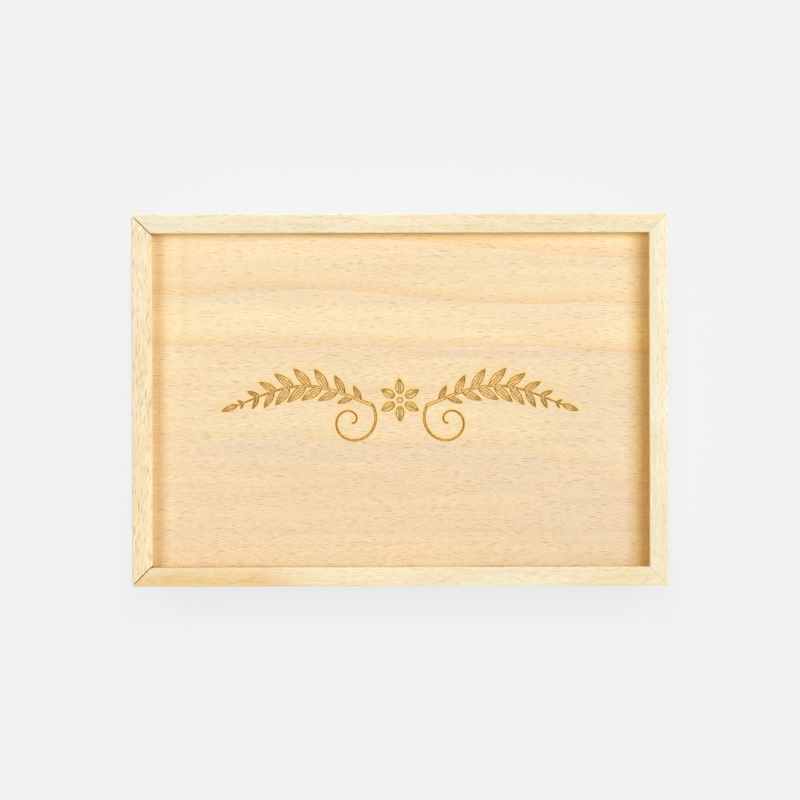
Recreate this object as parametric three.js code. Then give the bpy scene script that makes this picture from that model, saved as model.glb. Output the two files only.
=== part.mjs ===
// A beech box for papers and keepsakes, with mitred walls and a lid that slides out at one end.
// Millimetres, +Z up. The origin is the middle of the footprint, on the surface the box stands on.
// The long walls run along X. The lid slides out towards -X, over the lower of the two end walls.
//
// One groove runs round all four sides near the rim, and another near the foot. The foot groove
// holds the bottom panel and the rim groove guides the lid panel. At the open end the top of the
// wall is a separate rail, glued to the end of the lid panel, that leaves with it.

import * as THREE from "three";

// The box
const boxLength = 245;
const boxWidth = 170;
const boxHeight = 65;
const wallThickness = 8.5;
const grooveDepth = 4;
const arrisRadius = 0.5;
const arrisSteps = 4;

// The lid
const lidThickness = 4.4;
const lidDrop = 4.5;
const lidPlay = 0.3;
const lidRailProud = 0.7;
const lidRailLip = 2.2;
const lidRailGap = 0.35;

// The bottom
const bottomThickness = 4;
const bottomLift = 4;
const bottomPlay = 0.3;

// The thickness of glue in a joint
const glueLine = 0.05;

// A gap measured square to a 45 degree mitre takes this many times its width off the board's end
const mitreStretch = Math.SQRT2;

// Heights of the two grooves above the surface the box stands on
const lidGroove = {
  bottom: boxHeight - lidDrop - lidPlay - lidThickness - lidPlay,
  top: boxHeight - lidDrop,
};
const bottomGroove = {
  bottom: bottomLift - glueLine,
  top: bottomLift + bottomThickness + glueLine,
};

// How far the bottoms of the grooves lie from a wall's outer face
const grooveFloor = wallThickness - grooveDepth;

// The lid panel, midway in its groove
const lidTop = lidGroove.top - lidPlay;
const lidBottom = lidTop - lidThickness;

// The lid's rail closes round the end of the panel, and the open end's wall stops below it
const lidRailWidth = wallThickness + lidRailProud;
const lidRailGroove = { bottom: lidBottom - glueLine, top: lidTop + glueLine };
const lidRailBottom = lidBottom - lidRailLip;
const openWallHeight = lidRailBottom - lidPlay;

const beech = new THREE.MeshStandardMaterial({
  color: "#f3e1bb",
  roughness: 0.6,
  metalness: 0,
});
const lidVeneer = new THREE.MeshStandardMaterial({
  color: "#f1d6aa",
  roughness: 0.55,
  metalness: 0,
});
const bottomVeneer = new THREE.MeshStandardMaterial({
  color: "#ecd2a6",
  roughness: 0.65,
  metalness: 0,
});

// A board's cross-section, with x as the depth from its outer face and y as the height. Its long
// edges are rounded over. Each groove, the lowest first, is { floor, bottom, top } and is cut into
// the inner face, where floor is the depth from the outer face at which the cut stops.
function boardSection(thickness, foot, head, grooves) {
  const quarter = Math.PI / 2;
  const outer = arrisRadius;
  const inner = thickness - arrisRadius;
  const low = foot + arrisRadius;
  const high = head - arrisRadius;
  const section = new THREE.Shape();
  section.absarc(inner, low, arrisRadius, -quarter, 0);
  for (const groove of grooves) {
    section.lineTo(thickness, groove.bottom);
    section.lineTo(groove.floor, groove.bottom);
    section.lineTo(groove.floor, groove.top);
    section.lineTo(thickness, groove.top);
  }
  section.absarc(inner, high, arrisRadius, 0, quarter);
  section.absarc(outer, high, arrisRadius, quarter, 2 * quarter);
  section.absarc(outer, low, arrisRadius, 2 * quarter, 3 * quarter);
  section.closePath();
  return section;
}

// A board along X with its outer face on y = 0 and a 45 degree mitre at each end. length is that of
// the side of the box that it makes, and gap is the space left at each mitre, measured square to it.
function mitredBoard(section, length, gap) {
  const geometry = new THREE.ExtrudeGeometry(section, {
    depth: 1,
    steps: 1,
    curveSegments: arrisSteps,
    bevelEnabled: false,
  });
  const points = geometry.getAttribute("position");
  const reach = length / 2 - gap * mitreStretch;
  for (let i = 0; i < points.count; i++) {
    const depth = points.getX(i);
    const height = points.getY(i);
    const end = points.getZ(i) > 0 ? 1 : -1;
    points.setXYZ(i, end * (reach - depth), depth, height);
  }
  geometry.computeVertexNormals();
  return geometry;
}

// A flat panel between two corners given as [x, y, z]
function flatPanel(low, high) {
  const size = high.map((value, axis) => value - low[axis]);
  const middle = high.map((value, axis) => (value + low[axis]) / 2);
  return new THREE.BoxGeometry(...size).translate(...middle);
}

function named(name, geometry, material) {
  const mesh = new THREE.Mesh(geometry, material);
  mesh.name = name;
  return mesh;
}

// The sides of the box, in quarter turns from the front, and how far each lies from the middle
const front = { turns: 0, reach: boxWidth / 2 };
const closedEnd = { turns: 1, reach: boxLength / 2 };
const back = { turns: 2, reach: boxWidth / 2 };
const openEnd = { turns: 3, reach: boxLength / 2 };

function placedOn(side, mesh) {
  const angle = (side.turns * Math.PI) / 2;
  mesh.rotation.z = angle;
  mesh.position.set(
    Math.sin(angle) * side.reach,
    -Math.cos(angle) * side.reach,
    0,
  );
  return mesh;
}

// A wall of the box, glued to its neighbours at both mitres
function wall(name, side, length, head, grooves) {
  const cuts = grooves.map((groove) => ({ floor: grooveFloor, ...groove }));
  const section = boardSection(wallThickness, 0, head, cuts);
  const board = mitredBoard(section, length, glueLine / 2);
  return placedOn(side, named(name, board, beech));
}

// The rail that completes the rim at the open end, with open mitres so that it can slide out
function lidEndRail() {
  const cut = { floor: grooveFloor - glueLine, ...lidRailGroove };
  const section = boardSection(lidRailWidth, lidRailBottom, boxHeight, [cut]);
  const board = mitredBoard(section, boxWidth, lidRailGap);
  return placedOn(openEnd, named("lid_end_rail", board, beech));
}

// The panel that slides in the rim groove. One end fills the rail's groove, and the other stops a
// little short of the bottom of the groove in the closed end's wall.
function lidPanel() {
  const side = back.reach - grooveFloor - lidPlay;
  const low = [-openEnd.reach + grooveFloor, -side, lidBottom];
  const high = [closedEnd.reach - grooveFloor - lidPlay, side, lidTop];
  return named("lid_panel", flatPanel(low, high), lidVeneer);
}

// The panel in the foot groove, with a little play all round so that it can swell and shrink
function bottomPanel() {
  const end = closedEnd.reach - grooveFloor - bottomPlay;
  const side = back.reach - grooveFloor - bottomPlay;
  const low = [-end, -side, bottomLift];
  const high = [end, side, bottomLift + bottomThickness];
  return named("bottom_panel", flatPanel(low, high), bottomVeneer);
}

const bothGrooves = [bottomGroove, lidGroove];

const carcass = new THREE.Group();
carcass.add(
  wall("front_wall", front, boxLength, boxHeight, bothGrooves),
  wall("back_wall", back, boxLength, boxHeight, bothGrooves),
  wall("closed_end_wall", closedEnd, boxWidth, boxHeight, bothGrooves),
  wall("open_end_wall", openEnd, boxWidth, openWallHeight, [bottomGroove]),
  bottomPanel(),
);

const lid = new THREE.Group();
lid.add(lidPanel(), lidEndRail());

const box = new THREE.Group();
box.add(carcass, lid);

export default box;
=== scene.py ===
import math
from itertools import pairwise

import bpy
import numpy as np
from mathutils import Matrix, Vector, geometry, kdtree


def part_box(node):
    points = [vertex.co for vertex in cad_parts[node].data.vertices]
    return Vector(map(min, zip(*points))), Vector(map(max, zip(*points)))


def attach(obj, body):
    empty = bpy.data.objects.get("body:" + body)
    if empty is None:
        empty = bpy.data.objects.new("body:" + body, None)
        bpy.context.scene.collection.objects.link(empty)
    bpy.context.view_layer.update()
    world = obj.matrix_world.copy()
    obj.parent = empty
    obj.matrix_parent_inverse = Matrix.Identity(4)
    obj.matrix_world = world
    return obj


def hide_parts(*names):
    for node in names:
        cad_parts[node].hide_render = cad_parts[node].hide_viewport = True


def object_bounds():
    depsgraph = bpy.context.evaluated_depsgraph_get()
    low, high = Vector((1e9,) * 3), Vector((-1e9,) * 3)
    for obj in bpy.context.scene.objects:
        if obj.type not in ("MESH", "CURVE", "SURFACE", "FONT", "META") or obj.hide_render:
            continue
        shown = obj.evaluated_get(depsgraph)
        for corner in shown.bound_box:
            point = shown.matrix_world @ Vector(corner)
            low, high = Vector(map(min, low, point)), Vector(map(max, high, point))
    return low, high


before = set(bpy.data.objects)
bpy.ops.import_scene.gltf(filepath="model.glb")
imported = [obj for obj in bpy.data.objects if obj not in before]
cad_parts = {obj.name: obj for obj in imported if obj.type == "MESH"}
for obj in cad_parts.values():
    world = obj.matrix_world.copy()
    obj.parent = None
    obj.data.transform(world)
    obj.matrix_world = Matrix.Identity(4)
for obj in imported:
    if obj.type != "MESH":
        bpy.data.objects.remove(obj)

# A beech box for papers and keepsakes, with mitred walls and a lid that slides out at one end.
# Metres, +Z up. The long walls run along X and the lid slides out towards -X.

cad_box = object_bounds()

MM = 0.001
SHARP_ANGLE = math.radians(35)

# Sizes of the box, from the frame
foot_corner, rim_corner = cad_box
box_size = rim_corner - foot_corner
lid_low, lid_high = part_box("lid_panel")
bottom_low, bottom_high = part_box("bottom_panel")
end_wall_low, end_wall_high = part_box("closed_end_wall")
_, open_wall_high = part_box("open_end_wall")
lid_rail_low, lid_rail_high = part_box("lid_end_rail")

# Sizes that the frame doesn't give
glue_line = 0.05 * MM
lid_play = 0.3 * MM
lid_rail_gap = 0.35 * MM
arris_radius, outer_arris_radius = 0.15 * MM, 0.5 * MM
lip_chamfer = 0.12 * MM
corner_radius = 0.9 * MM
panel_chamfer = 0.2 * MM

wall_thickness = end_wall_high.x - end_wall_low.x
lid_rail_width = lid_rail_high.x - lid_rail_low.x
groove_floor = rim_corner.y - lid_high.y - lid_play
opening = rim_corner.xy - Vector((wall_thickness, wall_thickness))


# Adding nodes


def maths(operation):
    return lambda value, *others: value.wire.math(operation, value, *others)


class Value:
    """An output of a node. A sum with it adds a maths node to its tree."""

    def __init__(self, wire, socket):
        self.wire = wire
        self.socket = socket

    def __rsub__(self, other):
        return self.wire.math("SUBTRACT", other, self)

    __add__ = __radd__ = maths("ADD")
    __mul__ = __rmul__ = maths("MULTIPLY")
    __sub__, __truediv__, __pow__ = maths("SUBTRACT"), maths("DIVIDE"), maths("POWER")
    __lt__, __gt__, __abs__ = maths("LESS_THAN"), maths("GREATER_THAN"), maths("ABSOLUTE")
    at_least, at_most = maths("MAXIMUM"), maths("MINIMUM")


class Wiring:
    """Adds nodes to one tree. An input is given a number, a vector, a colour or a Value."""

    def __init__(self, tree):
        self.tree = tree

    def fill(self, node, inputs):
        for place, value in inputs.items():
            socket = node.inputs[place]
            if isinstance(value, Value):
                self.tree.links.new(value.socket, socket)
            else:
                socket.default_value = value

    def node(self, kind, inputs=None, **settings):
        node = self.tree.nodes.new(kind)
        for name, value in settings.items():
            setattr(node, name, value)
        self.fill(node, inputs or {})
        return node

    def outputs(self, kind, inputs=None, **settings):
        """Every output of a new node, by name."""
        node = self.node(kind, inputs, **settings)
        return {socket.name: Value(self, socket) for socket in node.outputs}

    def add(self, kind, inputs=None, output=0, **settings):
        """One output of a new node."""
        return Value(self, self.node(kind, inputs, **settings).outputs[output])

    def shape(self, kind, inputs=None, output=0, **settings):
        return self.add("GeometryNode" + kind, inputs, output, **settings)

    def captured(self, shape, kind, value):
        """A shape, and a value as it is at its points before later nodes change them."""
        node = self.node("GeometryNodeCaptureAttribute", {0: shape})
        node.capture_items.new(kind, "Kept")
        self.fill(node, {1: value})
        return Value(self, node.outputs[0]), Value(self, node.outputs[1])

    def math(self, operation, *values, clamp=False):
        inputs = dict(enumerate(values))
        return self.add("ShaderNodeMath", inputs, operation=operation, use_clamp=clamp)

    def vector(self, operation, *values, **inputs):
        inputs = {**dict(enumerate(values)), **inputs}
        return self.add("ShaderNodeVectorMath", inputs, operation=operation)

    def apart(self, vector):
        return [*self.outputs("ShaderNodeSeparateXYZ", {0: vector}).values()]

    def together(self, x, y, z):
        return self.add("ShaderNodeCombineXYZ", {0: x, 1: y, 2: z})

    def ease(self, value, start, end, low=0.0, high=1.0):
        """A smooth step from low at start to high at end."""
        inputs = {0: value, 1: start, 2: end, 3: low, 4: high}
        return self.add("ShaderNodeMapRange", inputs, interpolation_type="SMOOTHSTEP")

    def mix(self, share, first, second, blend="MIX"):
        inputs = {0: share, 6: first, 7: second}
        return self.add("ShaderNodeMix", inputs, 2, data_type="RGBA", blend_type=blend)

    def tint(self, share, colour, tone):
        return self.mix(share, colour, tone, "MULTIPLY")

    def noise(self, place, size, detail=2.0, roughness=0.5, output="Fac"):
        """Noise whose features have about the given size along x, y and z."""
        place = self.vector("MULTIPLY", place, [1 / value for value in size])
        inputs = {"Vector": place, "Scale": 1.0, "Detail": detail, "Roughness": roughness}
        return self.add("ShaderNodeTexNoise", inputs, output)

    def sway(self, place, size, detail):
        """A vector of noise, each part of it about zero."""
        colour = self.noise(place, size, detail, output="Color")
        return self.vector("SUBTRACT", colour, (0.5, 0.5, 0.5))

    def ramp(self, value, stops, interpolation="LINEAR"):
        """A colour that passes through stops, a list of (place, colour)."""
        node = self.node("ShaderNodeValToRGB", {0: value})
        node.color_ramp.interpolation = interpolation
        elements = node.color_ramp.elements
        while len(elements) < len(stops):
            elements.new(0.5)
        for element, (place, colour) in zip(elements, stops):
            element.position = place
            element.color = colour
        return Value(self, node.outputs[0])

    def object_place(self):
        return self.add("ShaderNodeTexCoord", output="Object")

    def normal(self):
        return self.apart(self.add("ShaderNodeNewGeometry", output="True Normal"))

    def attribute(self, name):
        return self.add("ShaderNodeAttribute", output="Fac", attribute_name=name)


def blank(owner):
    """Wiring for the nodes of a new material or world."""
    owner.use_nodes = True
    owner.node_tree.nodes.clear()
    return Wiring(owner.node_tree)


def group(name, kind, inputs):
    """The wiring and the inputs of a new node group. inputs is {name: kind of socket}."""
    tree = bpy.data.node_groups.new(name, kind)
    for socket, type_name in inputs.items():
        tree.interface.new_socket(socket, in_out="INPUT", socket_type="NodeSocket" + type_name)
    wire = Wiring(tree)
    return wire, wire.outputs("NodeGroupInput")


def ended(wire, kind, results):
    """Ends a node group with its results, {name: value}, all of one kind of socket."""
    for name in results:
        wire.tree.interface.new_socket(name, in_out="OUTPUT", socket_type="NodeSocket" + kind)
    wire.node("NodeGroupOutput", results)
    return wire.tree


def shape_group(name, inputs):
    """A Geometry Nodes tree: its wiring, its inputs and the curve of the mesh it is given."""
    inputs = {"Geometry": "Geometry", **inputs, "Finish": "Material"}
    wire, given = group(name, "GeometryNodeTree", inputs)
    return wire, given, wire.shape("MeshToCurve", {0: given["Geometry"]})


def realized(wire, shape, given):
    """Ends a Geometry Nodes tree with its shape as one real mesh in its finish."""
    shape = wire.shape("RealizeInstances", {0: shape})
    shape = wire.shape("SetMaterial", {0: shape, "Material": given["Finish"]})
    return ended(wire, "Geometry", {"Geometry": shape})


def srgb(red, green, blue):
    """A colour given by its 0 to 255 screen values, as the linear colour that Blender takes."""

    def linear(value):
        share = value / 255
        return share / 12.92 if share <= 0.04045 else ((share + 0.055) / 1.055) ** 2.4

    return (linear(red), linear(green), linear(blue), 1.0)


def drawn(name, points, edges=(), faces=()):
    mesh = bpy.data.meshes.new(name)
    mesh.from_pydata(points, edges, faces)
    return mesh


def linked(name, data):
    thing = bpy.data.objects.new(name, data)
    bpy.context.scene.collection.objects.link(thing)
    return thing


def grown(name, mesh, tree, values):
    """The plain mesh that a Geometry Nodes tree makes of a mesh, given its inputs by name."""
    seed = linked(name + "_seed", mesh)
    modifier = seed.modifiers.new(tree.name, "NODES")
    modifier.node_group = tree
    for item in tree.interface.items_tree:
        if item.in_out == "INPUT" and item.name in values:
            modifier[item.identifier] = values[item.name]
    depsgraph = bpy.context.evaluated_depsgraph_get()
    made = bpy.data.meshes.new_from_object(seed.evaluated_get(depsgraph))
    made.name = name
    seed.modifiers.remove(modifier)
    bpy.data.objects.remove(seed)
    return made


def crisp(mesh):
    """Shades a mesh smooth, apart from its real edges."""
    mesh.polygons.foreach_set("use_smooth", [True] * len(mesh.polygons))
    mesh.set_sharp_from_angle(angle=SHARP_ANGLE)


def stand_for(node, mesh, body):
    """Puts a finer board in the place of a node of the frame."""
    piece = linked(node + "_board", mesh)
    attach(piece, body)
    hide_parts(node)


# The figure of beech, in millimetres: x along the grain, y along the growth rings and z across
# them. Rays are spindles, seen as short dashes on a face cut along the rings.

RAY_SPACING, RAY_RARITY = (10.0, 0.54), 0.42
SMALL_RAY_SPACING, SMALL_RAY_RARITY = (7.0, 0.36), 0.22
STREAK_SIZE = (20.0, 1.2, 1.2)
FIBRE_SIZE = (26.0, 0.3, 0.3)
PORE_SIZE = (1.8, 0.22, 0.22)
HUE_SIZE = (9.0, 2.6, 2.6)
BAND_SIZE = (95.0, 4.2, 4.2)
MOTTLE_SIZE = (38.0, 13.0, 13.0)
WAVER_SIZE, WAVER = (44.0, 14.0, 14.0), (0.0, 0.45, 0.45)
PALE_FLANK, SIDE_SLANT = 0.06, 0.83


def figure_group():
    """One group for every board. Its outputs say how strongly each part of the figure shows."""
    wire, given = group("beech_figure", "ShaderNodeTree", {"Place": "Vector"})
    place = given["Place"]
    place = wire.vector("MULTIPLY_ADD", wire.sway(place, WAVER_SIZE, 0.0), WAVER, place)
    x, y, z = wire.apart(place)
    across = z * SIDE_SLANT + y

    def centred(size, detail, roughness=0.5):
        return wire.noise(place, size, detail, roughness) - 0.5

    def spindles(spacing, rarity):
        """Dashes along the grain, of many lengths, on the top and on the sides of a board. Just
        beside a dash the value is below zero, where the wood is a little paler."""
        long, wide = spacing
        cell = wire.together(x * (1 / long), across * (1 / wide), 0.0)
        inputs = {"Vector": cell, "Scale": 1.0, "Randomness": 1.0}
        settings = {"distance": "MANHATTAN", "voronoi_dimensions": "2D"}
        found = wire.outputs("ShaderNodeTexVoronoi", inputs, **settings)
        chance = wire.apart(found["Color"])[2]
        away = found["Distance"] / wire.ease(chance, rarity, 1.0, 0.16, 0.34)
        flank = wire.ease(away, 1.0, 1.5) * wire.ease(away, 2.6, 1.7)
        shown = wire.ease(away, 1.0, 0.45) - flank * PALE_FLANK
        return shown * wire.ease(chance, rarity, 1.0, 0.55, 1.0) * (chance > rarity)

    parts = {
        "Fibre": centred(FIBRE_SIZE, 2.0) + centred(PORE_SIZE, 1.0),
        "Streak": centred(STREAK_SIZE, 3.0, 0.6),
        "Band": centred(BAND_SIZE, 2.0),
        "Mottle": centred(MOTTLE_SIZE, 2.0),
        "Hue": centred(HUE_SIZE, 1.0),
        "Ray": spindles(RAY_SPACING, RAY_RARITY),
        "Small ray": spindles(SMALL_RAY_SPACING, SMALL_RAY_RARITY),
    }
    return ended(wire, "Float", parts)


beech_figure = figure_group()


def figure_at(wire, place):
    return wire.outputs("ShaderNodeGroup", {"Place": place}, node_tree=beech_figure)


def principled(name):
    """A new material, its wiring and its shader node."""
    material = bpy.data.materials.new(name)
    wire = blank(material)
    shader = wire.node("ShaderNodeBsdfPrincipled", {"IOR": 1.45})
    wire.node("ShaderNodeOutputMaterial", {"Surface": Value(wire, shader.outputs[0])})
    return material, wire, shader


def grain_place(wire, along, shift, lean=0.0, cut_angle=0.0):
    """Object coordinates in millimetres, turned so that x runs along the grain."""
    place = wire.object_place()
    if along == "Y":
        x, y, z = wire.apart(place)
        place = wire.together(y, x, z)
    inputs = {"Vector": place, "Location": shift, "Rotation": (cut_angle, 0, lean)}
    inputs["Scale"] = (1 / MM,) * 3
    return wire.add("ShaderNodeMapping", inputs, vector_type="POINT")


# How much the parts of the figure change the colour, the gloss and the relief
FIBRE_SHADE, BAND_SHADE, FIBRE_WARMTH, HUE_SHIFT = 0.26, 0.16, 0.18, 0.16
SMALL_RAY_SHARE = 0.5
RAY_COLOUR = (0.8, 0.7, 0.57, 1)
# End grain is darker than the face, and darker still as painted shade for the shadow in the joints'
# gaps
END_GRAIN_AND_GAP_SHADE = (0.68, 0.52, 0.34, 1)
ROUGHNESS, FIBRE_ROUGHNESS, RAY_ROUGHNESS = 0.56, 0.2, -0.08
BUMP_DEPTH, RAY_SINK = 0.02 * MM, -0.35


def wood_surface(wire, shader, colour, figure, end_grain, depth, boldness):
    """Adds the figure to a plain wood colour and wires the colour, roughness and bump. depth is
    how deep the colour of the rays is, and boldness how strongly they show."""
    ray = (figure["Ray"] + figure["Small ray"] * SMALL_RAY_SHARE) * boldness
    fibre = figure["Fibre"] * FIBRE_SHADE
    shade = 1.0 + fibre + figure["Band"] * BAND_SHADE - ray.at_most(0.0)
    red = shade - fibre * FIBRE_WARMTH
    blue = shade + fibre * FIBRE_WARMTH + figure["Hue"] * HUE_SHIFT
    colour = wire.tint(1.0, colour, wire.together(red, shade, blue))
    colour = wire.tint(ray, colour, [value**depth for value in RAY_COLOUR])
    colour = wire.tint(end_grain, colour, END_GRAIN_AND_GAP_SHADE)
    rough = ROUGHNESS + figure["Fibre"] * FIBRE_ROUGHNESS + figure["Ray"] * RAY_ROUGHNESS
    height = figure["Fibre"] + figure["Ray"] * RAY_SINK
    bump = wire.add("ShaderNodeBump", {"Strength": 1.0, "Distance": BUMP_DEPTH, "Height": height})
    wire.fill(shader, {"Base Color": colour, "Roughness": rough, "Normal": bump})
    return colour, rough


# The solid beech of the walls

RING_SPACING, RING_BEND = 3.4, 1 / 160
SWEEP_SIZE, SWEEP = (90.0, 30.0, 30.0), 9.0
WAVE_SIZE = (17.0, 9.0, 9.0)
LATE_WOOD, LATE_SHARE = (0.95, 0.865, 0.68, 1), 0.4
MOTTLE_SHARE = 1.6
TONE_REACH = 80 * MM
STAIN, STAIN_SLANT = (0.935, 0.77, 0.56, 1), 4.5
STAIN_PATCH_SIZE = (7.0, 3.0, 3.0)
# A painted highlight along the rim's inner edge
LIP_HIGHLIGHT = (1.03, 1.01, 0.98, 1)
# Painted shade, and warm light thrown back from the lid, on an inner face above the lid
INNER_FACE_SHADE = (0.94, 0.8, 0.56, 1)


def stained(wire, colour, figure, place, at, along_place, from_opening, stains):
    """Browns a wall in ragged stretches along its rim."""
    sunk = (rim_corner.z - at[2]) * STAIN_SLANT
    spread = figure["Mottle"] * 60.0 + figure["Band"] * 40.0
    outer = wire.ease(from_opening, 0.5 * MM, 5 * MM, 0.45, 1.0)
    patch = wire.ease(wire.noise(place, STAIN_PATCH_SIZE), 0.36, 0.6, 0.85, 1.06)
    for start, end, strength in stains:
        middle, half = (start + end) / 2, (end - start) / 2
        ragged = (abs(along_place - middle * MM) + sunk) * (1 / MM) + spread
        share = wire.ease(ragged, half * 1.15, half * 0.5, 0.0, strength)
        colour = wire.tint(share * outer * patch, colour, STAIN)
    return colour


def wall_beech(
    name, along, cut_angle, shift, tones, lean=0.0, flecks=(1.2, 1.0), streaks=2.4,
    grain=(1.0, 1.15), wave=1.4, stains=(), inner_face_shade=False,
):
    """Solid beech for one wall, cut at cut_angle from shells of growth rings round a pith that
    lies below it. tones are its colours at its two ends, flecks says how deep and how bold the
    rays are, streaks how strong the streaks are, and grain how much finer than usual the figure
    is along the grain and across it."""
    material, wire, shader = principled(name)
    cut_place = grain_place(wire, along, shift, lean, cut_angle)
    sway = wire.sway(cut_place, WAVE_SIZE, 1.0)
    wave = (0, wave, wave)
    cut_place = wire.vector("MULTIPLY_ADD", sway, wave, cut_place)
    place = wire.vector("MULTIPLY_ADD", sway, wave, grain_place(wire, along, shift, lean))
    finer_along, finer_across = grain
    finer = (finer_along, finer_across, finer_across)
    figure = figure_at(wire, wire.vector("MULTIPLY", place, finer))

    _, y, z = wire.apart(cut_place)
    ring = z + y**2.0 * RING_BEND + wire.noise(cut_place, SWEEP_SIZE) * SWEEP
    ring = wire.math("FRACT", ring * (1 / RING_SPACING))
    at = wire.apart(wire.object_place())
    along_place = at["XY".index(along)]
    from_opening = (abs(at[0]) - opening.x).at_least(abs(at[1]) - opening.y)
    colour = wire.mix(wire.ease(along_place, -TONE_REACH, TONE_REACH), *tones)
    tone = 0.1 + ring**3.0 * LATE_SHARE + figure["Mottle"] * MOTTLE_SHARE
    tone = tone + figure["Streak"] * streaks
    colour = wire.tint(tone.at_least(0.0), colour, LATE_WOOD)
    if stains:
        colour = stained(wire, colour, figure, place, at, along_place, from_opening, stains)
    # Painted shade: the inner face above the lid is darker and warmer, as if shaded and lit by the
    # lid
    if inner_face_shade:
        inner_face = (from_opening < 0.1 * MM) * (at[2] > lid_high.z)
        colour = wire.tint(inner_face, colour, INNER_FACE_SHADE)
    facing = [abs(side) for side in wire.normal()]
    # Painted highlight: the top of the rim is paler close to the opening's edge
    lip_highlight_share = wire.ease(from_opening, 1.0 * MM, 0.4 * MM) * facing[2]
    colour = wire.tint(lip_highlight_share, colour, LIP_HIGHLIGHT)
    end_grain = wire.ease(facing["XY".index(along)], 0.45, 0.8, 0.0, 0.85)
    wood_surface(wire, shader, colour, figure, end_grain, *flecks)
    return material


# Walls

ARRIS_STEPS, CORNER_STEPS = 5, 5
STATION_SPACING = 3 * MM
WEAR_DEPTH, WEAR_STRETCH, UNWORN_SHARE = 0.25 * MM, (30, 900, 900), 0.35
SEED_SHIFT = 10.0


def board_section(thickness, foot, head, grooves):
    """The outline of a board across its length, as (depth from its outer face, height) points."""

    def arris(side, end, radius, start):
        """A quarter round inside the corner at depth side and height end."""
        depth = side - radius if side else radius
        height = end - radius if end == head else end + radius
        for step in range(ARRIS_STEPS + 1):
            angle = math.radians(start + 90 * step / ARRIS_STEPS)
            yield depth + radius * math.cos(angle), height + radius * math.sin(angle)

    outline = [*arris(thickness, foot, arris_radius, -90)]
    for floor, bottom, top in grooves:
        outline += [
            (thickness, bottom - lip_chamfer),
            (thickness - lip_chamfer, bottom),
            (floor, bottom),
            (floor, top),
            (thickness - lip_chamfer, top),
            (thickness, top + lip_chamfer),
        ]
    outline += arris(thickness, head, arris_radius, 0)
    outline += arris(0, head, outer_arris_radius, 90)
    outline += arris(0, foot, outer_arris_radius, 180)
    return outline


def board_tree():
    """Sweeps a board's section along X, mitres its ends at 45 degrees and softens its edges."""
    sockets = dict.fromkeys(("Reach", "Thickness", "Corner radius", "Wear"), "Float")
    sockets |= dict.fromkeys(("Stations", "Corner steps", "Seed"), "Int")
    wire, given, section = shape_group("mitred_board", sockets)
    line = wire.shape("CurvePrimitiveLine", {"Start": (0, 0, 0), "End": (1, 0, 0)})
    line = wire.shape("ResampleCurve", {0: line, "Count": given["Stations"]})
    line, station = wire.captured(line, "FLOAT", wire.shape("SplineParameter", output="Index"))
    board = wire.shape("CurveToMesh", {"Curve": line, "Profile Curve": section, "Fill Caps": True})

    # How far the corner is rounded at this station: 45 degrees at the mitre, none further in
    last = given["Stations"] - 1.0
    from_end = station.at_most(last - station)
    turned = wire.math("DIVIDE", from_end, given["Corner steps"], clamp=True)
    angle = (1.0 - turned) * (math.pi / 4)
    cosine, sine = wire.math("COSINE", angle), wire.math("SINE", angle)
    radius = given["Corner radius"]
    _, y, z = wire.apart(wire.shape("InputPosition"))
    fade = wire.math("SUBTRACT", 1.0, y / given["Thickness"], clamp=True)
    depth = y + radius * (1.0 - cosine) * fade
    end = given["Reach"] - depth - radius * (cosine - sine)
    inside = last - given["Corner steps"] * 2.0
    share = wire.math("DIVIDE", station - given["Corner steps"], inside, clamp=True)
    place = wire.together(end * (share * 2.0 - 1.0), depth, z)
    board = wire.shape("SetPosition", {"Geometry": board, "Position": place})

    # Wear takes a little wood off, more in some stretches than in others
    shift = wire.together(given["Seed"] * SEED_SHIFT, 0.0, 0.0)
    place = wire.vector("MULTIPLY_ADD", wire.shape("InputPosition"), WEAR_STRETCH, shift)
    worn = (wire.noise(place, (1, 1, 1)) - UNWORN_SHARE).at_least(0.0)
    worn = worn * given["Wear"] * (from_end > 0.5)
    offset = wire.vector("SCALE", wire.shape("InputNormal"), Scale=worn * -1.0)
    board = wire.shape("SetPosition", {"Geometry": board, "Offset": offset})
    return realized(wire, board, given)


mitred_board = board_tree()


def wall(node, side, section, width, gap, finish, body="box", seed=0):
    """One mitred board, standing on its side of the box."""
    turns, reach, length = side
    points = [(-depth, -height, 0) for depth, height in section]
    edges = [(i - 1, i) for i in range(1, len(points))]
    outline = drawn(node + "_section", points, [*edges, (len(points) - 1, 0)])
    values = {
        "Reach": length / 2 - gap * math.sqrt(2),
        "Thickness": width,
        "Corner radius": corner_radius,
        "Wear": WEAR_DEPTH,
        "Stations": int(length / STATION_SPACING) + 2 * CORNER_STEPS,
        "Corner steps": CORNER_STEPS,
        "Seed": seed,
        "Finish": finish,
    }
    mesh = grown(node + "_board", outline, mitred_board, values)
    turn = Matrix.Rotation(turns * math.pi / 2, 4, "Z")
    mesh.transform(turn @ Matrix.Translation((0, -reach, 0)))
    crisp(mesh)
    stand_for(node, mesh, body)


# The sides of the box: (quarter turns from the front, how far out it is, its length)
front = (0, rim_corner.y, box_size.x)
closed_end = (1, rim_corner.x, box_size.y)
back = (2, rim_corner.y, box_size.x)
open_end = (3, rim_corner.x, box_size.y)

# Each wall's colours at its two ends
FRONT_TONES = srgb(244, 230, 197), srgb(244, 231, 199)
BACK_TONES = srgb(241, 229, 200), srgb(241, 227, 191)
CLOSED_END_TONES = srgb(242, 231, 202), srgb(246, 236, 210)
OPEN_END_TONES = srgb(246, 226, 187), srgb(246, 230, 197)
# Where the front wall is browned, in millimetres: (start, end, strength)
FRONT_STAINS = [(-150, -36, 0.97), (-76, -52, 0.45), (-40, 20, 0.2), (79, 112, 0.3)]


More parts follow.
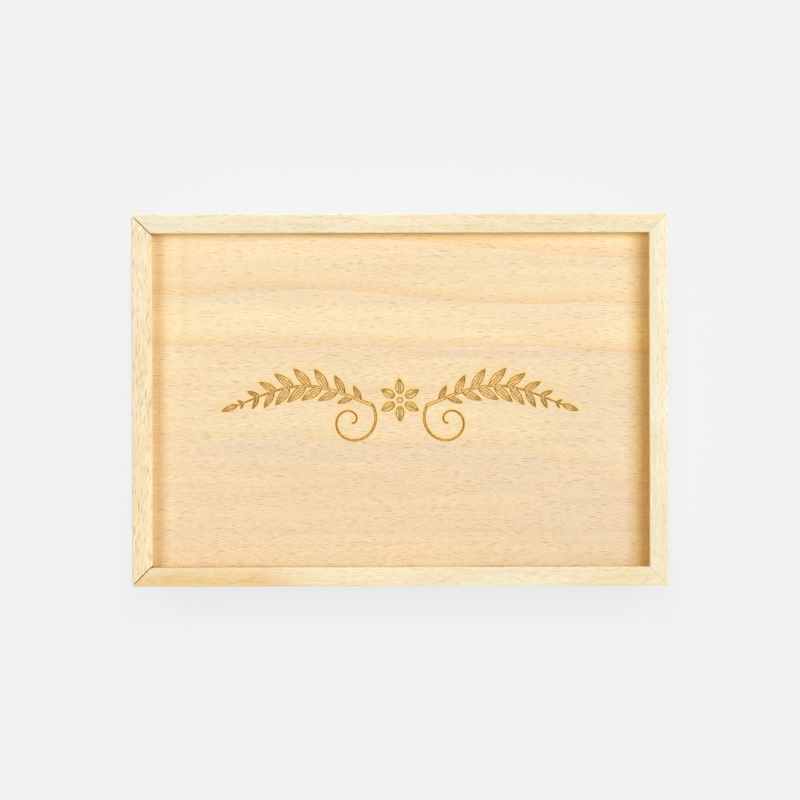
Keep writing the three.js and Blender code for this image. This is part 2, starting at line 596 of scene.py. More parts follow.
def make_walls():
    foot_groove = (groove_floor, bottom_low.z - glue_line, bottom_high.z + glue_line)
    rim_groove = (groove_floor, lid_low.z - lid_play, lid_high.z + lid_play)
    rail_groove = (groove_floor - glue_line, lid_low.z - glue_line, lid_high.z + glue_line)
    tall = board_section(wall_thickness, 0, box_size.z, [foot_groove, rim_groove])
    low = board_section(wall_thickness, 0, open_wall_high.z, [foot_groove])
    rail = board_section(lid_rail_width, lid_rail_low.z, lid_rail_high.z, [rail_groove])
    front_beech = wall_beech("front_beech", "X", 0.9, (0, 31, 17), FRONT_TONES, stains=FRONT_STAINS)
    back_beech = wall_beech("back_beech", "X", 0.7, (400, 9, -40), BACK_TONES, lean=0.03)
    closed_end_beech = wall_beech(
        "closed_end_beech", "Y", 1.1, (800, 50, 4), CLOSED_END_TONES,
        flecks=(1.6, 0.9), grain=(1.3, 1.25), inner_face_shade=True,
    )
    open_end_beech = wall_beech(
        "open_end_beech", "Y", 0.6, (1200, 20, 60), OPEN_END_TONES, lean=-0.1,
        flecks=(2.6, 1.2), streaks=2.9, grain=(0.82, 1.15), wave=3.0,
    )
    thick, glued = wall_thickness, glue_line / 2
    wall("front_wall", front, tall, thick, glued, front_beech, seed=1)
    wall("back_wall", back, tall, thick, glued, back_beech, seed=2)
    wall("closed_end_wall", closed_end, tall, thick, glued, closed_end_beech, seed=3)
    wall("open_end_wall", open_end, low, thick, glued, open_end_beech, seed=4)
    thick, gap = lid_rail_width, lid_rail_gap
    wall("lid_end_rail", open_end, rail, thick, gap, open_end_beech, "lid", seed=4)


make_walls()


# The ornament that is burnt into the lid: a blossom between two leafy sprigs with tendrils

STROKE = 1.5 * MM
STEM_STEPS, STEM_THINNING = 40, 0.55
SPRIG_START, SPRIG_LENGTH, SPRIG_RISE = 12.5 * MM, 63 * MM, 6.5 * MM
LEAVES, LEAF_SIZE, LEAF_WIDTH_SHARE = 8, 11.5 * MM, 0.155
LEAF_STEPS, LEAF_SPLAY = 9, 0.74
TIP_LEAF_SHARE = 0.7
PETALS, PETAL_SIZE, PETAL_WIDTH_SHARE = 6, 7.4 * MM, 0.25
PETAL_RING, PETAL_RING_STEPS = 2.6 * MM, 60
HEART_RADIUS, HEART_STEPS = 1.4 * MM, 20
VEIN_SHARE = 0.034
TENDRIL_MIDDLE, TENDRIL_START = (22.5 * MM, -9.5 * MM), math.radians(144)
TENDRIL_TURNS, TENDRIL_RADIUS, TENDRIL_END_RADIUS = 1.3, 11.2 * MM, 1.1 * MM
TENDRIL_STEPS, TENDRIL_WIDTH_SHARE, TENDRIL_THINNING = 60, 0.8, 0.4
SMALLEST_SHAPE = 0.05 * MM


def leaf_mesh(width_share):
    """A leaf of unit length along X, in two halves with a bare vein between them."""
    curve = []
    for i in range(LEAF_STEPS + 1):
        share = i / LEAF_STEPS
        belly = math.sin(math.pi * share**0.85) ** 0.9 if 0 < share < 1 else 0
        curve.append((share, VEIN_SHARE * (1 - 0.8 * share) + width_share * belly))
    half = [curve[0], curve[-1], *reversed(curve[1:-1])]
    points = [(x, side * y, 0) for side in (1, -1) for x, y in half]
    count = len(half)
    return drawn("leaf", points, faces=[range(count), range(2 * count - 1, count - 1, -1)])


def leaves_tree():
    """Sets leaves along a path, turned away from it and largest along its middle."""
    sockets = {"Leaf": "Object", "Count": "Int"}
    sockets |= dict.fromkeys(("Size", "Taper", "Splay", "Start", "End"), "Float")
    wire, given, path = shape_group("leaves_along", sockets)
    path, tangent = wire.captured(path, "VECTOR", wire.shape("InputTangent"))
    path = wire.shape("TrimCurve", {"Curve": path, "Start": given["Start"], "End": given["End"]})
    path = wire.shape("ResampleCurve", {0: path, "Count": given["Count"]})
    along = wire.shape("SplineParameter", output="Factor")
    size = given["Size"] * wire.math("SINE", along * 2.1 + 0.75) ** given["Taper"]
    ahead = wire.add("FunctionNodeAlignRotationToVector", {"Vector": tangent}, axis="X")
    aside = wire.add("FunctionNodeEulerToRotation", {0: wire.together(0.0, 0.0, given["Splay"])})
    inputs = {"Rotation": ahead, "Rotate By": aside}
    turned = wire.add("FunctionNodeRotateRotation", inputs, rotation_space="LOCAL")
    leaf = wire.shape("ObjectInfo", {"Object": given["Leaf"]}, "Geometry")
    size = wire.together(size, size, 1.0)
    inputs = {"Points": path, "Instance": leaf, "Rotation": turned, "Scale": size}
    return realized(wire, wire.shape("InstanceOnPoints", inputs), given)


def stroke_tree():
    """Draws a flat line along a path, thinner towards its end."""
    sockets = {"Width": "Float", "Thinning": "Float", "Steps": "Int"}
    wire, given, path = shape_group("tapered_stroke", sockets)
    path = wire.shape("ResampleCurve", {0: path, "Count": given["Steps"]})
    thin = 1.0 - given["Thinning"] * wire.shape("SplineParameter", output="Factor")
    nib = wire.shape("CurvePrimitiveLine", {"Start": (-0.5, 0, 0), "End": (0.5, 0, 0)})
    inputs = {"Curve": path, "Profile Curve": nib, "Scale": given["Width"] * thin}
    return realized(wire, wire.shape("CurveToMesh", inputs), given)


def path_mesh(name, points):
    return drawn(name, [(x, y, 0) for x, y in points], [*pairwise(range(len(points)))])


def flat_shapes(mesh):
    """A flat mesh's faces as lists of (x, y), each running anticlockwise."""
    shapes = []
    for polygon in mesh.polygons:
        shape = [tuple(mesh.vertices[i].co.xy) for i in polygon.vertices]
        area = sum(x * v - u * y for (x, y), (u, v) in zip(shape, shape[1:] + shape[:1]))
        if abs(area) > SMALLEST_SHAPE**2:
            shapes.append(shape if area > 0 else shape[::-1])
    return shapes


def sprig_point(share):
    wave = math.sin(math.pi * (1.25 * share - 0.12))
    return SPRIG_START + SPRIG_LENGTH * share, SPRIG_RISE * wave


def tendril_point(share):
    angle = TENDRIL_START + 2 * math.pi * TENDRIL_TURNS * share
    radius = TENDRIL_END_RADIUS + TENDRIL_RADIUS * (1 - share) ** 1.15
    x, y = TENDRIL_MIDDLE
    return x + radius * math.cos(angle), y + radius * math.sin(angle)


def arc(radius, steps, start=0.0, end=2 * math.pi):
    turns = [start + (end - start) * i / steps for i in range(steps + 1)]
    return [(radius * math.cos(turn), radius * math.sin(turn)) for turn in turns]


def ornament(finish):
    """Every burnt shape of the ornament, about the middle of the lid."""
    leaves, stroke = leaves_tree(), stroke_tree()
    leaf = linked("leaf", leaf_mesh(LEAF_WIDTH_SHARE))
    petal = linked("petal", leaf_mesh(PETAL_WIDTH_SHARE))

    def path(name, point, steps=STEM_STEPS):
        return path_mesh(name, [point(i / steps) for i in range(steps + 1)])

    def spray(path, count, size, splay, start, end, taper=1.0, leaf=leaf):
        values = {"Leaf": leaf, "Count": count, "Size": size, "Splay": splay}
        values |= {"Start": start, "End": end, "Taper": taper, "Finish": finish}
        return flat_shapes(grown("spray", path, leaves, values))

    def line(path, width, thinning, steps):
        values = {"Width": width, "Thinning": thinning, "Steps": steps, "Finish": finish}
        return flat_shapes(grown("line", path, stroke, values))

    side = line(path("stem", sprig_point), STROKE, STEM_THINNING, STEM_STEPS)
    tendril = path("tendril", tendril_point, TENDRIL_STEPS)
    side += line(tendril, TENDRIL_WIDTH_SHARE * STROKE, TENDRIL_THINNING, TENDRIL_STEPS)
    for splay, start in ((LEAF_SPLAY, 0.09), (-LEAF_SPLAY, 0.15)):
        side += spray(path("stem", sprig_point), LEAVES, LEAF_SIZE, splay, start, 0.94)
    side += spray(path("stem", sprig_point), 1, TIP_LEAF_SHARE * LEAF_SIZE, 0.0, 0.985, 1.0, 0.0)
    mirrored = [[(-x, y) for x, y in reversed(shape)] for shape in side]
    first = math.pi / 2
    last = first + 2 * math.pi * (PETALS - 1) / PETALS
    ring = path_mesh("petal_ring", arc(PETAL_RING, PETAL_RING_STEPS, first, last))
    blossom = spray(ring, PETALS, PETAL_SIZE, -math.pi / 2, 0.0, 1.0, 0.0, petal)
    blossom.append(arc(HEART_RADIUS, HEART_STEPS)[:-1])
    bpy.data.objects.remove(leaf)
    bpy.data.objects.remove(petal)
    return side + mirrored + blossom


# The lid panel and the bottom panel

GRID, FINE_GRID = 3 * MM, 0.45 * MM
OUTLINE_STEP = 0.4 * MM
ENGRAVED_DEPTH = 0.45 * MM
# The engraved floor darkens towards its walls over the third of these distances: partly char,
# partly painted shade of the walls
SCORCH_REACH, SCORCH_DRIFT, EDGE_CHAR_AND_SHADE = 1.6 * MM, 0.45 * MM, 0.6 * MM
CHAR_AND_SHADE_SHARE, SCORCH_SHARE = 0.3, 0.5
HAIR = 0.0001 * MM

# Where the growth rings of the lid's face end, as points (x, y) in millimetres from its middle.
# The first and last lie off the panel.
RING_ENDS = [
    [(-120, 112), (120, 96)],
    [(-120, 79), (-70, 78), (-35, 75), (23, 71), (69, 66.5), (120, 63)],
    [
        (-120, 49), (-95, 48), (-72, 50.5), (-45, 51), (-17, 49.5),
        (15, 46), (61, 43.5), (84, 45), (120, 42),
    ],
    [(-120, 25), (-84, 24.5), (8, 24), (69, 24), (120, 21)],
    [(-120, 4.7), (-46, 4), (78, 3), (120, 2)],
    [
        (-120, -15.5), (-38, -17), (-1, -20.5), (14, -18.5),
        (36, -19), (54, -22.5), (84, -31), (120, -47),
    ],
    [(-120, -112), (120, -118)],
]


def ring_phase(x, y):
    """How many growth rings lie between a point of the lid's face and the first ring's end."""
    window = np.linspace(-7, 7, 9) * MM
    ends = []
    for points in RING_ENDS:
        along, across = np.array(points).T * MM
        ends.append(np.mean([np.interp(x + step, along, across) for step in window], axis=0))
    return sum(np.clip((upper - y) / (upper - lower), 0, 1) for upper, lower in pairwise(ends))


def walked(shape, step):
    """Points along a closed outline, about a step apart."""
    points = []
    for (x, y), (u, v) in pairwise([*shape, shape[0]]):
        count = max(1, round(math.hypot(u - x, v - y) / step))
        points += [(x + (u - x) * i / count, y + (v - y) * i / count) for i in range(count)]
    return points


def near(points):
    """A function that gives the distance from any point to the nearest of these."""
    tree = kdtree.KDTree(len(points))
    for i, (x, y) in enumerate(points):
        tree.insert((x, y, 0), i)
    tree.balance()
    return lambda x, y: tree.find((x, y, 0))[2]


def inner_grid(low, high, spacing):
    """Rows of points inside a rectangle, with alternate rows half a step over."""
    rows = int((high[1] - low[1]) / spacing)
    across = int((high[0] - low[0]) / spacing)
    for row in range(1, rows):
        for i in range(1, across):
            shift = 0.25 if row % 2 else -0.25
            yield low[0] + (i + shift) * spacing, low[1] + row * spacing


def face_triangles(low, high, shapes):
    """A panel's top face between two corners: its points, its triangles, and which of these lie
    in a shape. Round the shapes the triangles are small."""
    border = walked([(low.x, low.y), (high.x, low.y), (high.x, high.y), (low.x, high.y)], GRID)
    outlines = [walked(shape, OUTLINE_STEP) for shape in shapes]
    drawn = [point for outline in outlines for point in outline]
    points = border + drawn
    loops, first = [], 0
    for outline in [border, *outlines]:
        loops.append([*range(first, first + len(outline))])
        first += len(outline)
    if drawn:
        spread = SCORCH_REACH + SCORCH_DRIFT + FINE_GRID
        distance = near(drawn)
        drawn_low = [min(point[axis] for point in drawn) - spread for axis in (0, 1)]
        drawn_high = [max(point[axis] for point in drawn) + spread for axis in (0, 1)]
        fine = inner_grid(drawn_low, drawn_high, FINE_GRID)
        points += [point for point in fine if FINE_GRID / 3 < distance(*point) < spread]
        coarse = inner_grid(low, high, GRID)
        points += [point for point in coarse if distance(*point) > spread + FINE_GRID]
    else:
        points += inner_grid(low, high, GRID)
    flat = [Vector(point) / MM for point in points]
    found = geometry.delaunay_2d_cdt(flat, [], loops, 0, 1e-4, True)
    places = np.array([(place.x, place.y) for place in found[0]]) * MM
    sunk = [any(source > 0 for source in sources) for sources in found[5]]
    return places, found[2], sunk


def outline_of(edges):
    """The places round the face, in order, from the directed edges of its triangles."""
    following = {first: second for first, second in edges if (second, first) not in edges}
    start = next(iter(following))
    order = [start]
    while following[order[-1]] != start:
        order.append(following[order[-1]])
    return order


def burn_levels(places, slots, steps):
    """How far each vertex of the face is burnt. On the engraved floor it rises towards the walls,
    partly char and partly painted shade of the walls. slots gives the vertex at (place, is it
    sunk), and steps are the edges between the sunk and the level parts."""
    burn = np.zeros(len(slots))
    if not steps:
        return burn
    edge = [tuple((places[first] + places[second]) / 2) for first, second in steps]
    edge += [tuple(places[first]) for first, _ in steps]
    distance = near(edge)
    for (place, is_sunk), slot in slots.items():
        x, y = places[place]
        if is_sunk:
            burn[slot] = 1 - CHAR_AND_SHADE_SHARE * min(distance(x, y) / EDGE_CHAR_AND_SHADE, 1)
        else:
            away = min(distance(x, y) + SCORCH_DRIFT, distance(x, y - SCORCH_DRIFT))
            burn[slot] = SCORCH_SHARE * max(1 - away / SCORCH_REACH, 0)
    return burn


def pushed_out(value, edge, amount):
    """A coordinate from the middle of the panel, moved outwards if it is on the face's edge."""
    return value + math.copysign(amount, value) if abs(value) > edge - HAIR else value


def panel_mesh(name, low, high, shapes=()):
    """A board with softened edges, and shapes sunk into its top. Its attributes say which growth
    ring a point is in and how far it is burnt."""
    inset = Vector((panel_chamfer, panel_chamfer))
    face_low, face_high = low.xy + inset, high.xy - inset
    places, triangles, sunk = face_triangles(face_low, face_high, shapes)

    # Each place gets a vertex in the top face, one on the engraved floor, or both
    vertices, slots = [], {}

    def vertex(place, is_sunk):
        key = (place, is_sunk)
        if key not in slots:
            slots[key] = len(vertices)
            x, y = places[place]
            vertices.append((x, y, high.z - ENGRAVED_DEPTH * is_sunk))
        return slots[key]

    faces, edges = [], {}
    for triangle, is_sunk in zip(triangles, sunk):
        faces.append([vertex(place, is_sunk) for place in triangle])
        for i in range(3):
            edges[triangle[i], triangle[(i + 1) % 3]] = is_sunk
    steps = [edge for edge, is_sunk in edges.items() if is_sunk and not edges.get(edge[::-1], True)]
    for first, second in steps:
        floor = [vertex(second, True), vertex(first, True)]
        faces.append([*floor, vertex(first, False), vertex(second, False)])
    burn = burn_levels(places, slots, steps)

    # The chamfers, the sides and the underside follow the border of the top face
    tops = [slots[place, False] for place in outline_of(edges)]
    middle = (low + high) / 2
    edge_x, edge_y = face_high - middle.xy
    rims = [tops]
    for z, out in ((high.z - panel_chamfer, 1), (low.z + panel_chamfer, 1), (low.z, 0)):
        rims.append([*range(len(vertices), len(vertices) + len(tops))])
        for top in tops:
            x, y, _ = vertices[top]
            x = middle.x + pushed_out(x - middle.x, edge_x, out * panel_chamfer)
            y = middle.y + pushed_out(y - middle.y, edge_y, out * panel_chamfer)
            vertices.append((x, y, z))
    for upper, lower in pairwise(rims):
        for i in range(len(tops)):
            following = (i + 1) % len(tops)
            faces.append([upper[following], upper[i], lower[i], lower[following]])
    faces.append(rims[-1][::-1])

    mesh = drawn(name, vertices, faces=faces)
    x, y, _ = (np.array(vertices) - [*middle]).T
    burn = np.pad(burn, (0, len(vertices) - len(burn)))
    for key, value in (("ring", ring_phase(x, y)), ("burn", burn)):
        mesh.attributes.new(key, "FLOAT", "POINT").data.foreach_set("value", value)
    crisp(mesh)
    return mesh


COOL, CREAM = srgb(244, 221, 185), srgb(248, 225, 182)
WARM, PEACH = srgb(242, 208, 158), srgb(247, 217, 175)
LOWER = srgb(243, 216, 174)
FRONT_SHADE, RIGHT_SHADE = (0.95, 0.94, 0.945, 1), (0.96, 0.965, 1.0, 1)
RING_TONES = [(0.0, COOL), (0.1, COOL), (0.38, CREAM), (0.72, CREAM), (1.0, WARM)]
# The growth rings between which the paler back of the lid gives way to its darker front
FRONT_START = (2.9, 3.1)
FIBRE_RAGGED, BAND_RAGGED = 0.07, 0.12
PEACH_SHARE, VENEER_MOTTLE = 0.12, 2.2
VENEER_RAY_DEPTH, FRONT_BOLDNESS = 1.3, 1.35
ARCH_SPACING, ARCH_RISE, ARCH_TAPER = 11.0, 26.0, -0.07
ARCH_SWAY_SIZE, ARCH_SWAY = (80.0, 30.0, 30.0), 14.0
PLY_TONES = [(0.0, srgb(240, 214, 172)), (0.2, srgb(205, 170, 122)), (0.8, srgb(240, 214, 172))]

# Burnt wood, by how far it is burnt: its colour, and how much of the plain wood that hides. The
# darkest stop is partly char and partly painted shade along the engraving's walls.
TOAST, BROWN, CHAR_AND_SHADE = srgb(250, 211, 130), srgb(250, 214, 140), srgb(168, 112, 14)
SCORCH_TONES = [(0.55, TOAST), (0.71, BROWN), (0.92, CHAR_AND_SHADE)]
SCORCH_COVER = [(0.0, (0, 0, 0, 1)), (0.5, (0.85, 0.85, 0.85, 1)), (0.68, (1, 1, 1, 1))]
SPECK_SIZE = (1.3, 0.5, 0.5)

# Painted shade on the lid's face along the sides of its opening, where the walls shade it: darker
# and warmer there. Each is (axis, the side's place, how far from it the shade is full, how far it
# reaches, the tone).
OPENING_SHADES = [
    (0, lid_rail_width - rim_corner.x, 2.3 * MM, 8.8 * MM, (0.9, 0.785, 0.605, 1)),
    (0, opening.x, 2.5 * MM, 11.5 * MM, (0.98, 0.745, 0.36, 1)),
    (0, opening.x, 7.0 * MM, 13.0 * MM, (0.955, 0.97, 1.0, 1)),
    (0, opening.x, 3.1 * MM, 4.0 * MM, (1.0, 0.97, 0.94, 1)),
    (0, opening.x, 0.5 * MM, 2.2 * MM, (0.99, 0.97, 0.83, 1)),
    (1, opening.y, 1.0 * MM, 4.8 * MM, (0.92, 0.85, 0.65, 1)),
    (1, -opening.y, 3 * MM, 9 * MM, (0.89, 0.86, 0.84, 1)),
    (1, -opening.y, 1.2 * MM, 4.6 * MM, (0.865, 0.905, 0.905, 1)),
]
# Faint marks of the clamps across the grain: (middle, half width, strength)
CLAMP_MARKS = [(-105.2 * MM, 1.2 * MM, 0.5), (-98.7 * MM, 1.6 * MM, 1.0)]
CLAMP_TONE = (0.985, 0.955, 0.87, 1)


def flat_cut(wire, place):
    """The ring phase of a board cut off a slightly tapering trunk, as nested arches."""
    x, y, _ = wire.apart(place)
    radius = wire.math("SQRT", y * y + ARCH_RISE * ARCH_RISE) + x * ARCH_TAPER
    sway = wire.noise(place, ARCH_SWAY_SIZE, 1.0) * ARCH_SWAY
    return (radius + sway) * (1 / ARCH_SPACING)


def front_rings(wire, colour, ring, ragged):
    """The lid's front half, where the rings are faint and the last one is wide and even."""
    faint = wire.ease(ragged, 3.1, 4.0, 0.0, 0.6)
    faint = faint.at_most(wire.ease(ragged, 4.98, 5.0, 0.6, 0.0))
    colour = wire.mix(faint, colour, CREAM)
    return wire.mix(wire.ease(ring, 4.9, 5.2, 0.0, 0.75), colour, LOWER)


def lid_shades(wire, colour, ring, at, above):
    """The lid's darker front and right parts, its clamp marks, and painted shade along the sides of
    its opening.
    """
    colour = wire.tint(wire.ease(ring, *FRONT_START), colour, FRONT_SHADE)
    to_right = wire.ease(at[0], 0.1 * lid_high.x, 0.9 * lid_high.x)
    to_front = wire.ease(at[1], 0.4 * lid_high.y, -0.1 * lid_high.y)
    colour = wire.tint(to_right * to_front, colour, RIGHT_SHADE)
    to_back = wire.ease(at[1], 22 * MM, 32 * MM, 0.15, 1.0)
    for middle, half, strength in CLAMP_MARKS:
        share = wire.ease(abs(at[0] - middle), 1.5 * half, 0.5 * half, 0.0, strength)
        colour = wire.tint(share * to_back, colour, CLAMP_TONE)
    # Painted shade from the walls, weaker towards the back on the right side
    less_at_back = wire.ease(at[1], 15 * MM, 70 * MM, 1.0, 0.78)
    for axis, end, full, reach, tone in OPENING_SHADES:
        inward = -1 if end > 0 else 1
        share = wire.ease(at[axis], end + inward * reach, end + inward * full)
        if end == opening.x:
            share = share * less_at_back
        colour = wire.tint(share * above, colour, tone)
    return colour


def scorched(wire, shader, colour, rough, place, burn):
    """Adds the burnt wood of the ornament and the halo round it to the lid's finish."""
    speck = (wire.noise(place, SPECK_SIZE, 2.0, 0.7) - 0.5) * burn.at_most(0.5)
    burn = (burn + speck).at_least(0.0)
    colour = wire.mix(wire.ramp(burn, SCORCH_COVER), colour, wire.ramp(burn, SCORCH_TONES))
    matt = rough.at_least(wire.ease(burn, 0.4, 0.7))
    wire.fill(shader, {"Base Color": colour, "Roughness": matt})


def veneer(name, low, high, shift, has_ornament=False):
    """A flat-cut beech face on plywood. The lid's face follows the mesh's ring attribute."""
    material, wire, shader = principled(name)
    place = grain_place(wire, "X", shift)
    figure = figure_at(wire, place)
    at = wire.apart(wire.object_place())
    upwards = wire.normal()[2]
    sideways = wire.ease(abs(upwards), 0.5, 0.3)
    phase, boldness = flat_cut(wire, place), 1.0
    if has_ornament:
        ring, burn, above = wire.attribute("ring"), wire.attribute("burn"), upwards > 0.0
        phase = wire.add("ShaderNodeMix", {0: above, 2: phase, 3: ring})
        sideways = sideways * (burn < 0.01)
        boldness = wire.ease(ring, *FRONT_START, 1.0, FRONT_BOLDNESS)
    ragged = phase + figure["Fibre"] * FIBRE_RAGGED + figure["Band"] * BAND_RAGGED
    colour = wire.ramp(wire.math("FRACT", ragged), RING_TONES)
    if has_ornament:
        colour = front_rings(wire, colour, ring, ragged)
    peach = PEACH_SHARE + figure["Mottle"] * VENEER_MOTTLE
    colour = wire.mix(peach.at_least(0.0), colour, PEACH)
    if has_ornament:
        colour = lid_shades(wire, colour, ring, at, above)
    height = (at[2] - low.z) * (1 / (high.z - low.z))
    colour = wire.mix(sideways, colour, wire.ramp(height, PLY_TONES, "CONSTANT"))
    look = (0.0, VENEER_RAY_DEPTH, boldness)
    colour, rough = wood_surface(wire, shader, colour, figure, *look)
    if has_ornament:
        scorched(wire, shader, colour, rough, place, burn)
    return material


def make_panels():
    lid_finish = veneer("lid_veneer", lid_low, lid_high, (0, 0, 0), has_ornament=True)
    bottom_finish = veneer("bottom_veneer", bottom_low, bottom_high, (300, 12, 40))
    lid = panel_mesh("lid_panel_board", lid_low, lid_high, ornament(lid_finish))
    lid.materials.append(lid_finish)
    stand_for("lid_panel", lid, "lid")
    bottom = panel_mesh("bottom_panel_board", bottom_low, bottom_high)
    bottom.materials.append(bottom_finish)
    stand_for("bottom_panel", bottom, "box")


make_panels()


# Torn fibres that the saw left along the inner edges of the rim: short brown stubs at the front,
# whose dark colour is painted shade for the shadows between the fibres, and pale splinters that
# stand out here and there

STUB_SIZE, SPLINTER_SIZE = (0.9 * MM, 0.5 * MM), (2.4 * MM, 0.36 * MM)
STUB_SPACING, SPLINTER_SPACING = 1.1 * MM, 2.2 * MM
FUZZ_HEIGHT = 0.6 * MM
TUFT_SIZE, TUFT_RARITY = (6 * MM,) * 3, 0.42

# The rough stretches of each wall's edge: (from, to, how many times as far apart the fibres are)
FRONT_ROUGH = [
    (-113, -110, 0.5), (-108, -70, 1), (-64, -44, 1), (-36, 4, 3), (34, 52, 1), (60, 112, 3),
]
BACK_ROUGH = [(-112, -80, 3), (20, 60, 4)]
CLOSED_END_ROUGH = [(-60, -20, 4), (72, 76.4, 1)]


def fuzz_tree():
    """Stands short three-sided fibres along a line, leaning at random out of the wood."""
    sockets = {"Length": "Float", "Thickness": "Float", "Turn": "Float", "Seed": "Int"}
    wire, given, path = shape_group("saw_fuzz", sockets)

    def chance(low, high, offset):
        inputs = {2: low, 3: high, "Seed": given["Seed"] + offset}
        return wire.add("FunctionNodeRandomValue", inputs, 1, data_type="FLOAT")

    spacing = wire.shape("InputNamedAttribute", {"Name": "spacing"}, "Attribute")
    path = wire.shape("ResampleCurve", {0: path, "Length": spacing}, mode="LENGTH")
    astray = spacing * chance(-0.8, 0.8, 10)
    stray = wire.vector("SCALE", wire.shape("InputTangent"), Scale=astray)
    path = wire.shape("SetPosition", {"Geometry": path, "Offset": stray})
    lean = chance(-0.3, 0.3, 20) - math.pi / 2
    splay = chance(-0.5, 0.5, 30) + given["Turn"]
    long = given["Length"] * chance(0.4, 1.0, 40) ** 2.0
    thick = given["Thickness"] * chance(0.6, 1.0, 50)
    fibre = {"Vertices": 3, "Radius Top": 0.2, "Radius Bottom": 0.5, "Depth": 1.0}
    inputs = {
        "Points": path,
        "Selection": wire.noise(wire.shape("InputPosition"), TUFT_SIZE) > TUFT_RARITY,
        "Instance": wire.shape("MeshCone", fibre),
        "Rotation": wire.together(lean, 0.0, splay),
        "Scale": wire.together(thick, thick, long),
    }
    return realized(wire, wire.shape("InstanceOnPoints", inputs), given)


def fibre_finish(name, dark, pale):
    material, wire, shader = principled(name)
    patch = wire.ease(wire.noise(wire.object_place(), TUFT_SIZE, 3.0), 0.35, 0.65)
    wire.fill(shader, {"Base Color": wire.mix(patch, dark, pale), "Roughness": 0.7})
    return material


def lip_lines(name, middle, along, stretches, spacing):
    """One line for each rough stretch of a wall's edge, at the lip of the rim groove. Its spacing
    attribute says how far apart the fibres stand."""
    z = lid_high.z + FUZZ_HEIGHT
    points = []
    for start, end, _ in stretches:
        for place in (start, end):
            x, y = (m + place * MM * a for m, a in zip(middle, along))
            points.append((x, y, z))
    mesh = drawn(name, points, [(2 * i, 2 * i + 1) for i in range(len(stretches))])
    values = [spacing * sparse for _, _, sparse in stretches for _ in (0, 1)]
    mesh.attributes.new("spacing", "FLOAT", "POINT").data.foreach_set("value", values)
    return mesh


def make_fuzz():
    tree = fuzz_tree()
    # The brown stubs are painted shade: dark to stand for the shadows between torn fibres
    brown = fibre_finish("torn_fibre", srgb(158, 122, 66), srgb(196, 158, 102))
    pale = fibre_finish("splinter", srgb(240, 212, 160), srgb(250, 228, 184))
    stubs = ("torn_fibres", STUB_SIZE, STUB_SPACING, brown)
    splinters = ("splinters", SPLINTER_SIZE, SPLINTER_SPACING, pale)
    runs = [
        ("front_wall", (0, -opening.y), (1, 0), 0, FRONT_ROUGH, stubs),
        ("front_wall", (0, -opening.y), (1, 0), 0, FRONT_ROUGH, splinters),
        ("back_wall", (0, opening.y), (1, 0), math.pi, BACK_ROUGH, splinters),
        ("closed_end_wall", (opening.x, 0), (0, 1), math.pi / 2, CLOSED_END_ROUGH, splinters),
    ]
    for seed, (node, middle, along, turn, stretches, fibres) in enumerate(runs):
        kind, (length, thickness), spacing, finish = fibres
        lines = lip_lines(node + "_lip", middle, along, stretches, spacing)
        values = {"Length": length, "Thickness": thickness, "Turn": turn}
        values |= {"Seed": seed, "Finish": finish}
        name = f"{node}_{kind}"
        piece = linked(name, grown(name, lines, tree, values))
        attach(piece, "box")


make_fuzz()


# Floor, light and camera

PAPER, PAPER_GLOW = srgb(242, 242, 242), 0.99
FLOOR_SIDE = 12
# How much of its lamps' light the floor shows, and the light from all round
SHADOW_SHARE, AMBIENT = 0.07, 0.02
# The lamps of the box: (name, azimuth, elevation, level, spread)
BOX_LAMPS = [
    ("back_softbox", 90, 74, 0.105, 34),
    ("right_softbox", 6, 44, 0.526, 42),
    ("left_softbox", 173, 46, 0.274, 30),
    ("front_fill", 270, 6, 0.034, 20),
    ("back_fill", 90, 3, 0.035, 20),
]
# The floor's lamps in pairs, behind the box: (elevation, how far each is off the middle, level)
FLOOR_LAMPS = [(86, 20, 0.75), (77, 45, 0.5), (70, 32, 0.5), (65, 26, 0.34)]
FLOOR_LAMP_SPREAD = 10
FLOOR_LEVEL = AMBIENT + sum(level for _, _, level in FLOOR_LAMPS)
VIEW_WIDTH, VIEW_DISTANCE = 365.2 * MM, 900 * MM


def seen_rays(wire):
    """1 for rays that show the background itself: from the camera, and in gloss and glass."""
    path = wire.outputs("ShaderNodeLightPath")
    straight = path["Is Camera Ray"].at_least(path["Is Glossy Ray"])
    return straight.at_least(path["Is Transmission Ray"])


def make_floor():
    side = FLOOR_SIDE
    corners = [(-side, -side, 0), (side, -side, 0), (side, side, 0), (-side, side, 0)]
    mesh = drawn("floor", corners, faces=[(0, 1, 2, 3)])
    floor = linked("floor", mesh)
    material = bpy.data.materials.new("pale_floor")
    wire = blank(material)
    matt = wire.add("ShaderNodeBsdfDiffuse", {"Color": PAPER})
    dim_paper = wire.mix(1 / FLOOR_LEVEL, (0, 0, 0, 1), PAPER)
    dim = wire.add("ShaderNodeBsdfDiffuse", {"Color": dim_paper})
    strength = PAPER_GLOW * (1 - SHADOW_SHARE * FLOOR_LEVEL) / (1 - SHADOW_SHARE)
    glow = wire.add("ShaderNodeEmission", {"Color": PAPER, "Strength": strength})
    flat = wire.add("ShaderNodeMixShader", {0: SHADOW_SHARE, 1: glow, 2: matt})
    surface = wire.add("ShaderNodeMixShader", {0: seen_rays(wire), 1: dim, 2: flat})
    wire.node("ShaderNodeOutputMaterial", {"Surface": surface})
    mesh.materials.append(material)
    return floor


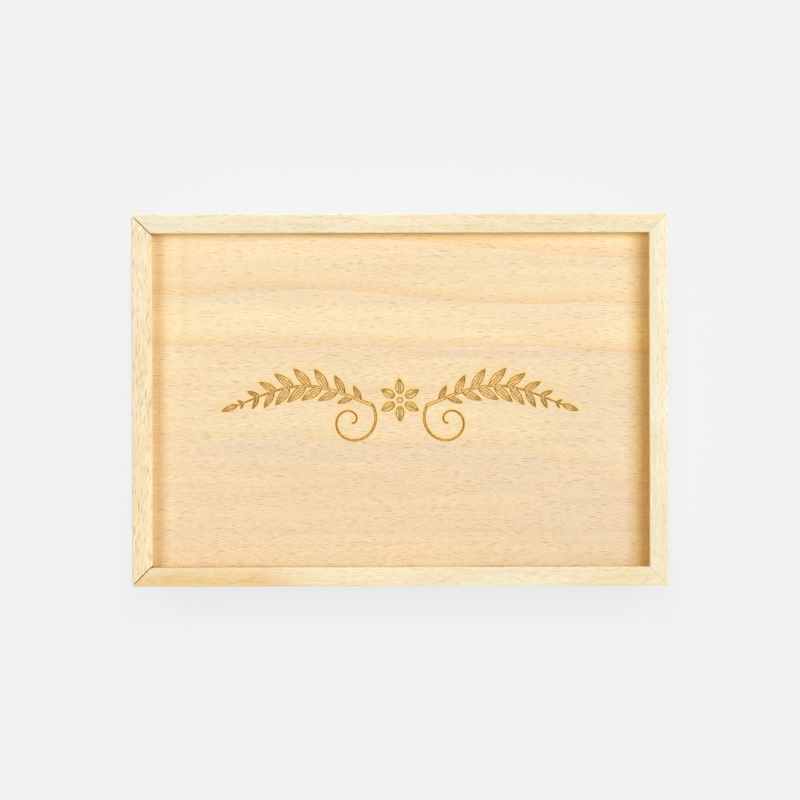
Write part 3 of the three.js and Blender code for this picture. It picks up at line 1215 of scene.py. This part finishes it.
def make_world():
    world = bpy.data.worlds.new("studio")
    wire = blank(world)
    colour = wire.mix(seen_rays(wire), (AMBIENT, AMBIENT, AMBIENT, 1), PAPER)
    sky = wire.add("ShaderNodeBackground", {"Color": colour, "Strength": 1.0})
    wire.node("ShaderNodeOutputWorld", {"Surface": sky})
    bpy.context.scene.world = world


def make_lamp(name, azimuth, elevation, level, spread, lit):
    """A broad soft lamp far away. level is what it adds to a surface that faces straight up, and
    lit is the light linking collection that says what it lights."""
    height, compass = math.radians(elevation), math.radians(azimuth)
    lamp = bpy.data.lights.new(name, "SUN")
    lamp.energy = math.pi * level / math.sin(height)
    lamp.angle = math.radians(spread)
    thing = linked(name, lamp)
    across = math.cos(height)
    towards = Vector((across * math.cos(compass), across * math.sin(compass), math.sin(height)))
    thing.rotation_euler = towards.to_track_quat("Z", "Y").to_euler()
    thing.light_linking.receiver_collection = lit


def make_lamps(floor):
    """The floor has lamps of its own, so that its shadow falls in front of the box alone. They
    are strong, and the floor shows little of them, so that it shows less still of the light that
    the box throws back at it."""
    only_floor = bpy.data.collections.new("only_floor")
    off_floor = bpy.data.collections.new("off_floor")
    for lit, state in ((only_floor, "INCLUDE"), (off_floor, "EXCLUDE")):
        lit.objects.link(floor)
        lit.collection_objects[0].light_linking.link_state = state
    for lamp in BOX_LAMPS:
        make_lamp(*lamp, off_floor)
    for i, (elevation, aside, level) in enumerate(FLOOR_LAMPS):
        for side, name in ((1, "left"), (-1, "right")):
            name = f"{name}_floor_lamp_{i}"
            azimuth = 90 + side * aside
            make_lamp(name, azimuth, elevation, level / 2, FLOOR_LAMP_SPREAD, only_floor)


def make_camera():
    lens = bpy.data.cameras.new("camera")
    lens.sensor_width = 36
    lens.lens = lens.sensor_width * VIEW_DISTANCE / VIEW_WIDTH
    lens.clip_start = 0.01
    camera = linked("camera", lens)
    camera.location = (0.03 * MM, 0.02 * MM, rim_corner.z + VIEW_DISTANCE)
    camera.rotation_euler = (0, 0, math.radians(-0.15))
    bpy.context.scene.camera = camera


make_lamps(make_floor())
make_world()
make_camera()
bpy.context.scene.view_settings.view_transform = "Standard"
